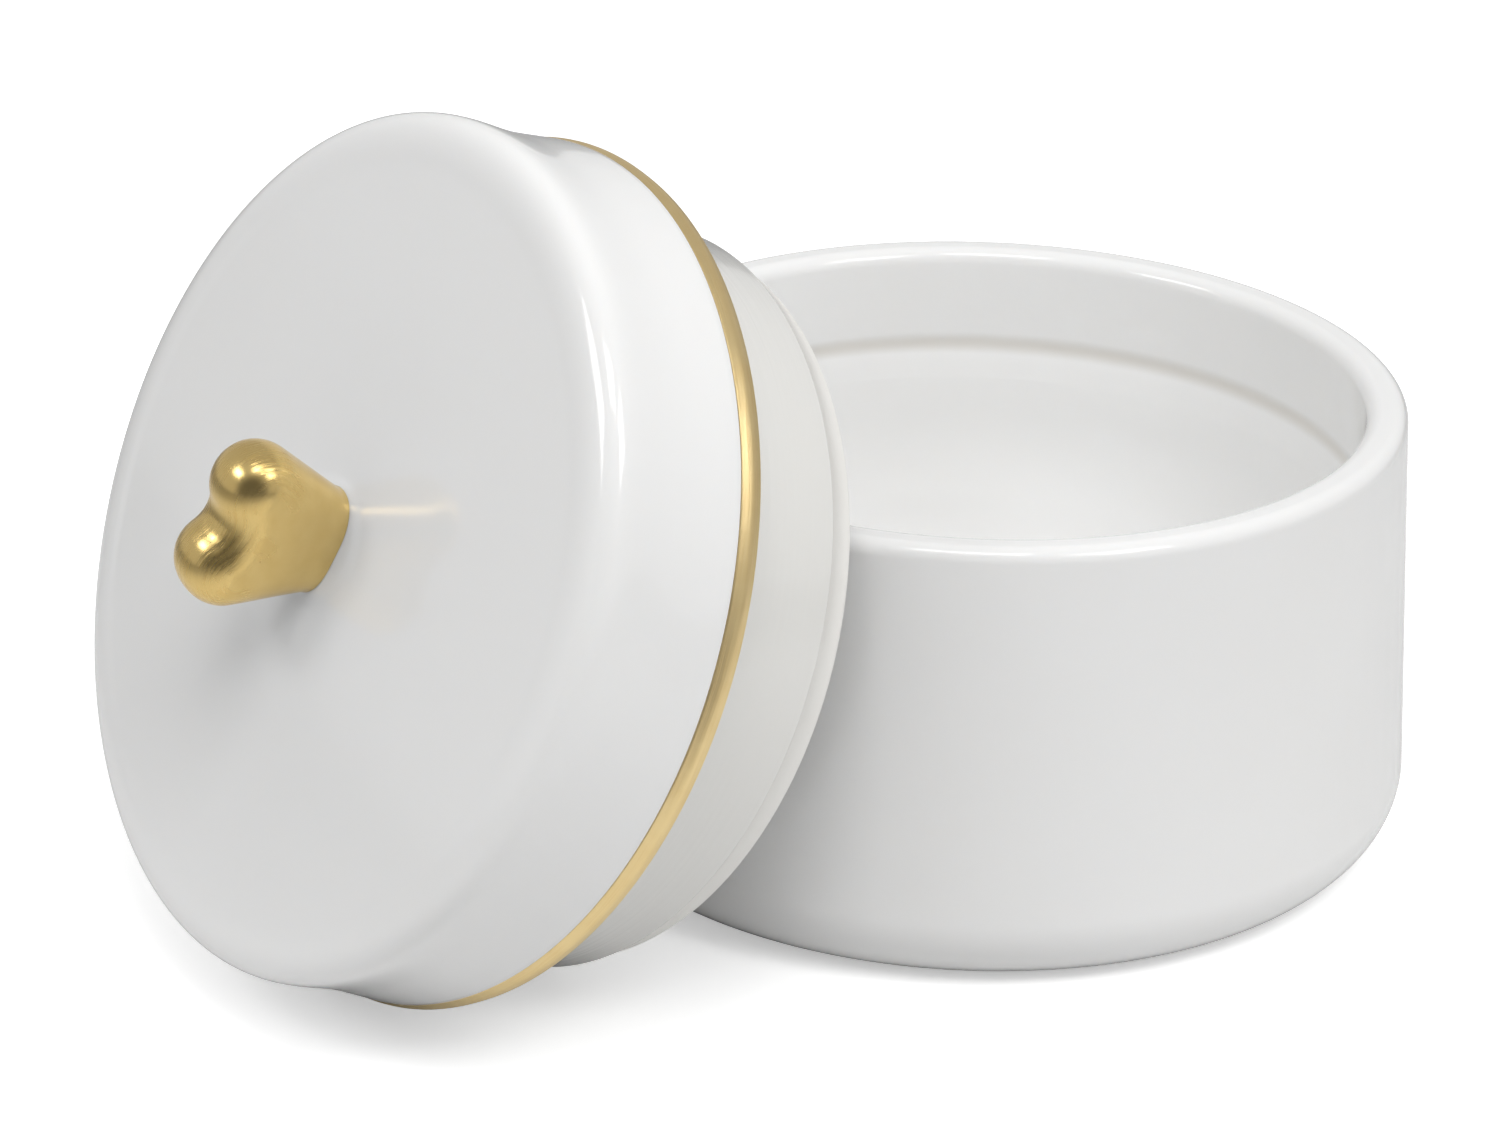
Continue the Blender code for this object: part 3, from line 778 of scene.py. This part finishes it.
def build_floor():
    """A light table: it looks white, but throws back less light the further out it is."""
    mesh = bpy.data.meshes.new("floor")
    shape = bmesh.new()
    bmesh.ops.create_grid(shape, x_segments=1, y_segments=1, size=FLOOR_HALF_SIDE)
    shape.to_mesh(mesh)
    shape.free()
    finish, tree, point = new_tree("pale_floor")
    tone = noise(tree, point, FLOOR_TONE_SCALE, detail=2.0)
    seen = blend(tree, tone, FLOOR_TONES[0], FLOOR_TONES[1])
    away = add(tree, "VectorMath", {0: point}, operation="LENGTH").outputs["Value"]
    bounced = blend(tree, smooth_range(tree, away, FLOOR_FADE_START, FLOOR_FADE_END),
                    grey(FLOOR_BOUNCE), grey(FLOOR_FAR_BOUNCE))
    to_camera = add(tree, "LightPath").outputs["Is Camera Ray"]
    shader = add(tree, "BsdfPrincipled", {
        "Base Color": blend(tree, to_camera, bounced, seen), "Roughness": FLOOR_ROUGHNESS,
        "Emission Color": grey(1.0),
        "Emission Strength": compute(tree, "MULTIPLY", to_camera, FLOOR_GLOW)})
    close_tree(tree, shader.outputs[0])
    mesh.materials.append(finish)
    floor = bpy.data.objects.new("floor", mesh)
    bpy.context.scene.collection.objects.link(floor)


def camera_place():
    """Where the camera stands and how it is turned, from its distance, height and angles."""
    forward = Vector((0.0, math.cos(CAMERA_ELEVATION), -math.sin(CAMERA_ELEVATION)))
    right = Vector((1.0, 0.0, 0.0))
    up = right.cross(forward)
    rolled_right = math.cos(CAMERA_ROLL) * right + math.sin(CAMERA_ROLL) * up
    rolled_up = math.cos(CAMERA_ROLL) * up - math.sin(CAMERA_ROLL) * right
    matrix = Matrix((rolled_right, rolled_up, -forward)).transposed().to_4x4()
    matrix.translation = Vector((CAMERA_ACROSS, 0.0, CAMERA_TARGET_HEIGHT)) - forward * CAMERA_DISTANCE
    return Matrix.Rotation(-CAMERA_AZIMUTH, 4, "Z") @ matrix


def build_camera():
    lens = bpy.data.cameras.new("camera")
    lens.lens = CAMERA_LENS
    lens.sensor_width = CAMERA_SENSOR
    lens.clip_start = CAMERA_CLIP_START
    camera = bpy.data.objects.new("camera", lens)
    camera.matrix_world = camera_place()
    bpy.context.scene.collection.objects.link(camera)
    bpy.context.scene.camera = camera


def add_lamp(name, direction, distance, size, power, mirrored):
    """A rectangular light that faces the target; LAMPS says what the values mean."""
    light = bpy.data.lights.new(name, "AREA")
    light.shape = "RECTANGLE"
    light.size = size[0]
    light.size_y = size[1]
    light.energy = power
    lamp = bpy.data.objects.new(name, light)
    heading = camera_place().to_3x3() @ Vector(direction).normalized()
    lamp.location = Vector(LIGHT_TARGET) + heading * distance
    lamp.rotation_euler = heading.to_track_quat("Z", "Y").to_euler()
    lamp.visible_glossy = mirrored
    bpy.context.scene.collection.objects.link(lamp)


def build_world():
    """A white light tent, a little brighter round its sides than overhead, with a dark gap
    where the camera looks in. Behind the table the camera sees plain white, however dim the tent."""
    world = bpy.data.worlds.new("light_tent")
    world.use_nodes = True
    tree = world.node_tree
    background = tree.nodes["Background"]
    direction = add(tree, "TexCoord").outputs["Generated"]
    height = add(tree, "SeparateXYZ", {0: direction}).outputs[2]
    overhead = smooth_range(tree, height, TENT_SIDE_HEIGHT, TENT_TOP_HEIGHT)
    strength = compute(tree, "MULTIPLY_ADD", overhead, TENT_TOP - TENT_SIDE, TENT_SIDE)
    towards_gap = tuple(camera_place().to_3x3() @ Vector(TENT_GAP_DIRECTION).normalized())
    facing = add(tree, "VectorMath", {0: direction, 1: towards_gap}, operation="DOT_PRODUCT")
    gap = smooth_range(tree, facing.outputs["Value"], math.cos(TENT_GAP_OUTER), math.cos(TENT_GAP_INNER))
    strength = compute(tree, "MULTIPLY", strength, compute(tree, "MULTIPLY_ADD", gap, -TENT_GAP_DEPTH, 1.0))
    strength = compute(tree, "MAXIMUM", strength, add(tree, "LightPath").outputs["Is Camera Ray"])
    background.inputs["Color"].default_value = grey(1.0)
    tree.links.new(strength, background.inputs["Strength"])
    bpy.context.scene.world = world


def build_light():
    build_world()
    for lamp in LAMPS:
        add_lamp(*lamp)
    bpy.context.scene.view_settings.view_transform = "Standard"


def build():
    build_base(biscuit("base_biscuit"))
    build_lid(biscuit("lid_biscuit"))
    build_band()
    build_knob()
    build_fastening()
    build_floor()
    build_camera()
    build_light()


build()
